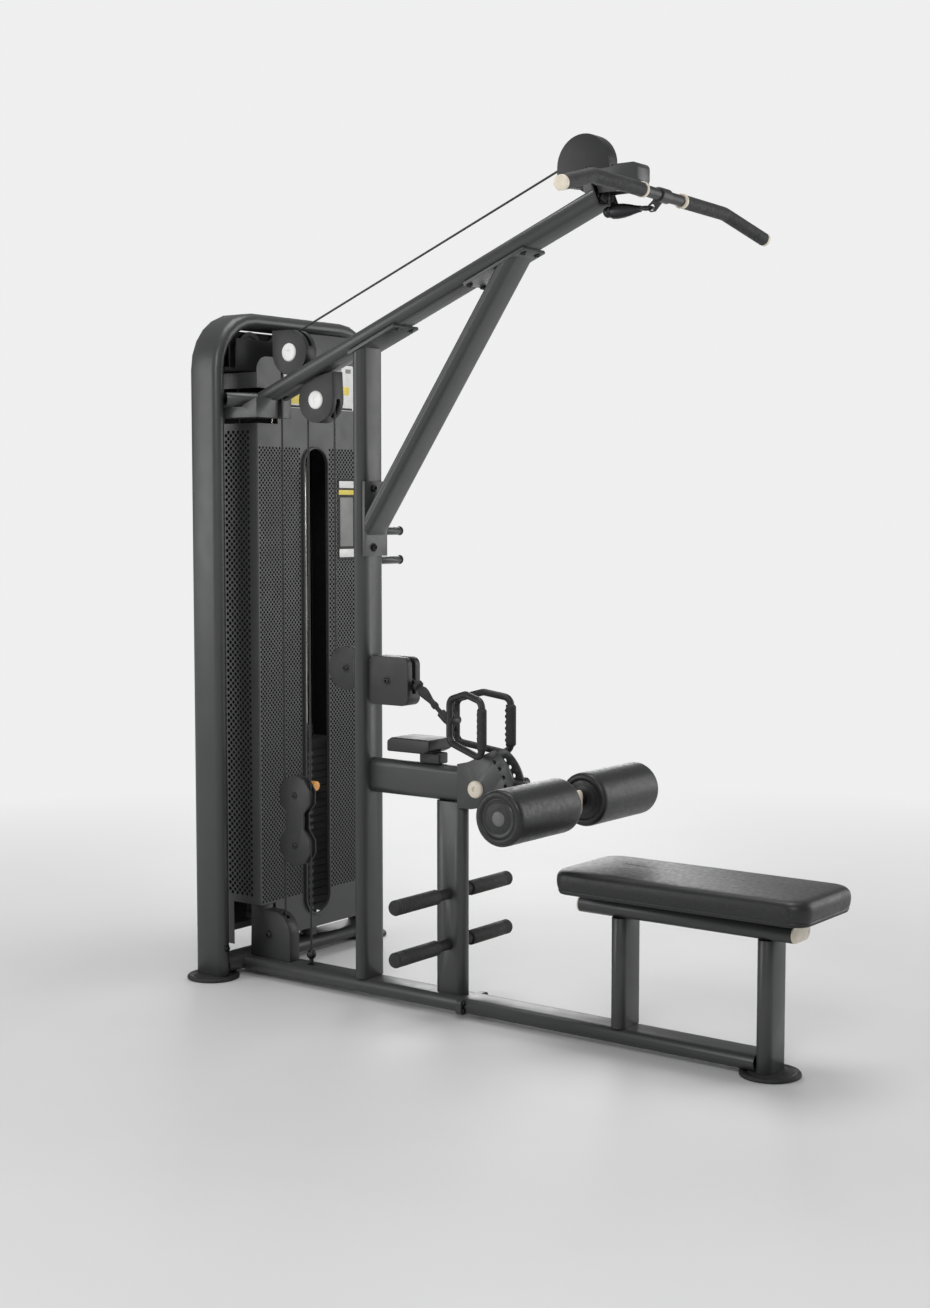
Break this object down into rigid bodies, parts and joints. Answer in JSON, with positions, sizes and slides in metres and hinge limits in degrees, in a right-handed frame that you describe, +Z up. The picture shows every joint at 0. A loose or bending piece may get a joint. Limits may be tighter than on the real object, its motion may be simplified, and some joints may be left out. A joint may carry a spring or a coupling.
{
  "type": "lat pulldown machine",
  "caption": "Selectorised lat pull-down and low-row machine: a shrouded weight tower, a cable boom with a bent bar, thigh rollers, a row handle and a long padded seat.",
  "frame": {"origin": "middle of the footprint, on the floor", "axes": "+Z up, +Y from the seat towards the weight tower, +X from the machine's near side to its far side"},
  "size_m": [1.1451, 1.98, 2.24],
  "materials": {
    "frame_paint": "satin powder coat",
    "black_paint": "satin powder coat",
    "shroud_paint": "satin powder coat",
    "chrome": "polished plating",
    "weight_steel": "black coated steel",
    "rubber": "matte grip rubber",
    "vinyl": "grained black vinyl",
    "knob_orange": "moulded knob",
    "cable_jacket": "coated wire rope",
    "nylon": "moulded nylon"
  },
  "bodies": {
    "frame": {"foot_front": "black_paint", "foot_near": "black_paint", "foot_far": "black_paint", "main_rail_front": "frame_paint", "main_rail_rear": "frame_paint", "tower_floor_rail": "frame_paint", "tower_arch": "frame_paint", "tower_head_bracket": "black_paint", "guide_rod_near": "chrome", "guide_rod_far": "chrome", "shroud": "shroud_paint", "weight_plates_resting": "weight_steel", "mast_post": "frame_paint", "boom": "frame_paint", "brace": "frame_paint", "knee_post": "frame_paint", "foot_peg_lower": "rubber", "foot_peg_upper": "rubber", "knee_beam": "frame_paint", "handle_rest": "black_paint", "seat_post_front": "frame_paint", "seat_post_rear": "frame_paint", "seat_tube": "frame_paint", "seat_pad": "vinyl", "top_pulley_guard": "black_paint", "upper_pulley_guard": "black_paint", "lower_pulley_guard": "black_paint", "row_pulley_guard": "black_paint", "row_exit_guard": "black_paint", "base_pulley_bracket": "black_paint", "lat_cable_boom": "cable_jacket", "lat_cable_drop": "cable_jacket", "lat_cable_loop": "cable_jacket", "row_cable_tower": "cable_jacket", "row_cable_out": "cable_jacket", "stack_cable_loop": "cable_jacket", "stack_cable_tower": "cable_jacket", "stack_cable_drop": "cable_jacket"},
    "weight_carriage": {"weight_head": "weight_steel", "weight_plates_lifted": "weight_steel"},
    "selector_pin": {"selector_pin": "knob_orange"},
    "travelling_block": {"travelling_block": "black_paint"},
    "block_pulley_upper": {"block_pulley_upper": "nylon"},
    "block_pulley_lower": {"block_pulley_lower": "nylon"},
    "top_pulley": {"top_pulley": "nylon"},
    "upper_pulley": {"upper_pulley": "nylon"},
    "lower_pulley": {"lower_pulley": "nylon"},
    "row_pulley": {"row_pulley": "nylon"},
    "exit_pulley": {"exit_pulley": "nylon"},
    "base_pulley": {"base_pulley": "nylon"},
    "head_pulley_near": {"head_pulley_near": "nylon"},
    "head_pulley_far": {"head_pulley_far": "nylon"},
    "lat_hook": {"lat_hook": "black_paint"},
    "lat_bar": {"lat_bar": "rubber"},
    "row_hook": {"row_hook": "black_paint"},
    "row_handle": {"row_handle": "rubber"},
    "knee_arm": {"knee_arm": "black_paint"},
    "knee_roller_near": {"knee_roller_near": "vinyl"},
    "knee_roller_far": {"knee_roller_far": "vinyl"},
    "pop_pin": {"pop_pin": "black_paint"}
  },
  "joints": [
    {"name": "lat_bar_pull", "type": "slide", "parent": "frame", "child": "lat_hook", "axis": [0, 0, -1], "range_m": [0, 0.9], "deforming": ["lat_cable_drop"]},
    {"name": "lat_bar_swivel", "type": "hinge", "parent": "lat_hook", "child": "lat_bar", "pos_m": [-0.0485, -0.498, 2.048], "axis": [0, 0, 1], "range_deg": [-25, 25]},
    {"name": "weight_lift", "type": "slide", "parent": "frame", "child": "weight_carriage", "axis": [0, 0, 1], "range_m": [0, 0.9], "deforming": ["stack_cable_drop"]},
    {"name": "selector_pin_pull", "type": "slide", "parent": "weight_carriage", "child": "selector_pin", "axis": [0, -1, 0], "range_m": [0, 0.07]},
    {"name": "block_lift", "type": "slide", "parent": "frame", "child": "travelling_block", "axis": [0, 0, 1], "range_m": [0, 0.45], "deforming": ["lat_cable_loop", "stack_cable_loop"]},
    {"name": "top_pulley_spin", "type": "hinge", "parent": "frame", "child": "top_pulley", "pos_m": [-0.0485, -0.328, 2.15], "axis": [1, 0, 0], "continuous": true},
    {"name": "upper_pulley_spin", "type": "hinge", "parent": "frame", "child": "upper_pulley", "pos_m": [-0.0485, 0.6445, 1.76], "axis": [1, 0, 0], "continuous": true},
    {"name": "block_pulley_upper_spin", "type": "hinge", "parent": "travelling_block", "child": "block_pulley_upper", "pos_m": [-0.0485, 0.6445, 0.529], "axis": [1, 0, 0], "continuous": true},
    {"name": "block_pulley_lower_spin", "type": "hinge", "parent": "travelling_block", "child": "block_pulley_lower", "pos_m": [-0.0485, 0.6445, 0.387], "axis": [1, 0, 0], "continuous": true},
    {"name": "base_pulley_spin", "type": "hinge", "parent": "frame", "child": "base_pulley", "pos_m": [-0.0485, 0.7405, 0.122], "axis": [1, 0, 0], "continuous": true},
    {"name": "head_pulley_near_spin", "type": "hinge", "parent": "frame", "child": "head_pulley_near", "pos_m": [-0.0005, 0.862, 1.78], "axis": [0, 1, 0], "continuous": true},
    {"name": "head_pulley_far_spin", "type": "hinge", "parent": "frame", "child": "head_pulley_far", "pos_m": [0.118, 0.862, 1.78], "axis": [0, 1, 0], "continuous": true},
    {"name": "row_handle_pull", "type": "slide", "parent": "frame", "child": "row_hook", "axis": [0, -0.9925, 0.1219], "range_m": [0, 0.6], "deforming": ["row_cable_out"]},
    {"name": "row_handle_swivel", "type": "hinge", "parent": "row_hook", "child": "row_handle", "pos_m": [-0.0485, 0.1317, 0.7911], "axis": [0, -0.7547, -0.6561], "range_deg": [-15, 15]},
    {"name": "lower_pulley_spin", "type": "hinge", "parent": "frame", "child": "lower_pulley", "pos_m": [-0.0485, 0.5485, 1.627], "axis": [1, 0, 0], "continuous": true},
    {"name": "row_pulley_spin", "type": "hinge", "parent": "frame", "child": "row_pulley", "pos_m": [-0.0485, 0.4525, 0.898], "axis": [1, 0, 0], "continuous": true},
    {"name": "exit_pulley_spin", "type": "hinge", "parent": "frame", "child": "exit_pulley", "pos_m": [-0.0485, 0.299, 0.873], "axis": [1, 0, 0], "continuous": true},
    {"name": "knee_arm_tilt", "type": "hinge", "parent": "frame", "child": "knee_arm", "pos_m": [-0.0485, 0.003, 0.607], "axis": [-1, 0, 0], "range_deg": [0, 43.2]},
    {"name": "knee_roller_near_spin", "type": "hinge", "parent": "knee_arm", "child": "knee_roller_near", "pos_m": [-0.0485, -0.275, 0.596], "axis": [1, 0, 0], "continuous": true},
    {"name": "knee_roller_far_spin", "type": "hinge", "parent": "knee_arm", "child": "knee_roller_far", "pos_m": [-0.0485, -0.275, 0.596], "axis": [1, 0, 0], "continuous": true},
    {"name": "pop_pin_pull", "type": "slide", "parent": "frame", "child": "pop_pin", "axis": [1, 0, 0], "range_m": [0, 0.015], "stiffness_N_per_m": 400}
  ],
  "couplings": [
    {"joint": "weight_lift", "follows": "lat_bar_pull", "ratio": 1},
    {"joint": "block_lift", "follows": "lat_bar_pull", "ratio": 0.5},
    {"joint": "top_pulley_spin", "follows": "lat_bar_pull", "rad_per_m": 20.833},
    {"joint": "upper_pulley_spin", "follows": "lat_bar_pull", "rad_per_m": 20.833},
    {"joint": "block_pulley_upper_spin", "follows": "lat_bar_pull", "rad_per_m": 10.417},
    {"joint": "block_pulley_lower_spin", "follows": "lat_bar_pull", "rad_per_m": 10.417},
    {"joint": "base_pulley_spin", "follows": "lat_bar_pull", "rad_per_m": -20.833},
    {"joint": "head_pulley_near_spin", "follows": "lat_bar_pull", "rad_per_m": -20.833},
    {"joint": "head_pulley_far_spin", "follows": "lat_bar_pull", "rad_per_m": -20.833},
    {"joint": "lower_pulley_spin", "follows": "row_handle_pull", "rad_per_m": 20.833},
    {"joint": "row_pulley_spin", "follows": "row_handle_pull", "rad_per_m": -20.833},
    {"joint": "exit_pulley_spin", "follows": "row_handle_pull", "rad_per_m": 20.833}
  ]
}
